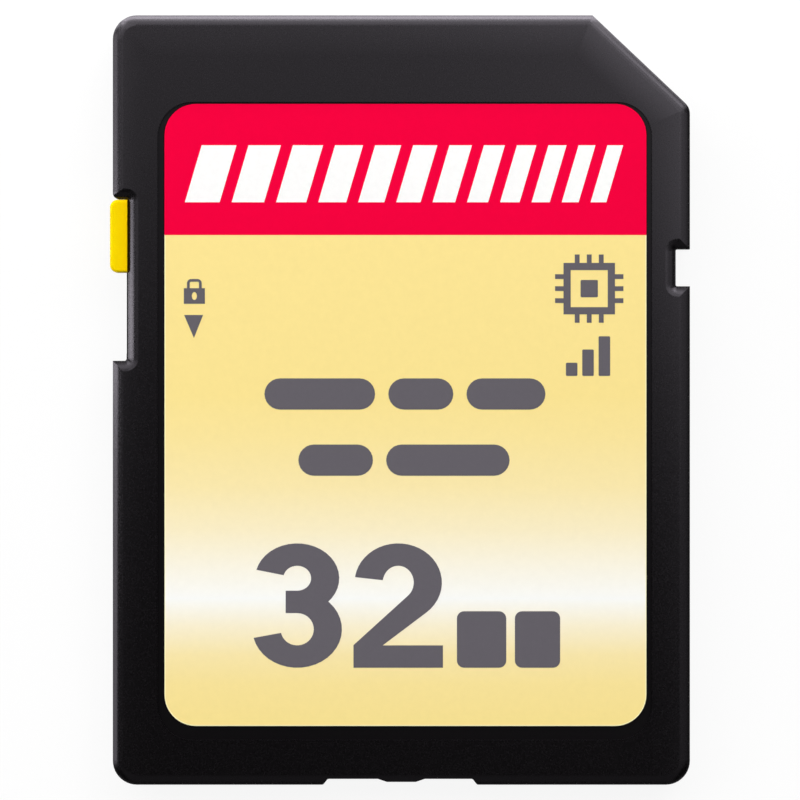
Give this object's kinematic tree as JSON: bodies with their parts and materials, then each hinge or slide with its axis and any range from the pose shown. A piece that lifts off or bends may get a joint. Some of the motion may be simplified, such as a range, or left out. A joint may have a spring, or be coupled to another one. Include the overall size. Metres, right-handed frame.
{
  "type": "memory card",
  "caption": "Flat rectangular memory card with a cut corner, stepped side rails, recessed edge contacts and a sliding write-protect tab.",
  "frame": {"origin": "middle of the rear (contact side) face, on which the card lies", "axes": "+Z out of the label side, +Y towards the contact end, +X towards the edge with the cut corner"},
  "size_m": [0.0241, 0.032, 0.0021],
  "materials": {
    "case": "fine satin moulding",
    "slider": "smooth moulding",
    "label": "printed and laminated film",
    "board": "solder mask",
    "contact": "gold plate",
    "package": "moulding compound",
    "capacitor": "fired ceramic",
    "resistor": "glazed ceramic"
  },
  "bodies": {
    "card": {"front_shell": "case", "rear_shell": "case", "front_label": "label", "circuit_board": "board", "flash_chip": "package", "controller_chip": "package", "contact_1": "contact", "contact_2": "contact", "contact_3": "contact", "contact_4": "contact", "contact_5": "contact", "contact_6": "contact", "contact_7": "contact", "contact_8": "contact", "contact_9": "contact", "capacitor_1": "capacitor", "capacitor_2": "capacitor", "capacitor_3": "capacitor", "capacitor_4": "capacitor", "resistor_1": "resistor", "resistor_2": "resistor", "resistor_3": "resistor", "resistor_4": "resistor", "resistor_5": "resistor", "resistor_6": "resistor"},
    "slider": {"write_protect_slider": "slider"}
  },
  "joints": [
    {"name": "write_protect_slide", "type": "slide", "parent": "card", "child": "slider", "axis": [0, -1, 0], "range_m": [0, 0.00364]}
  ]
}
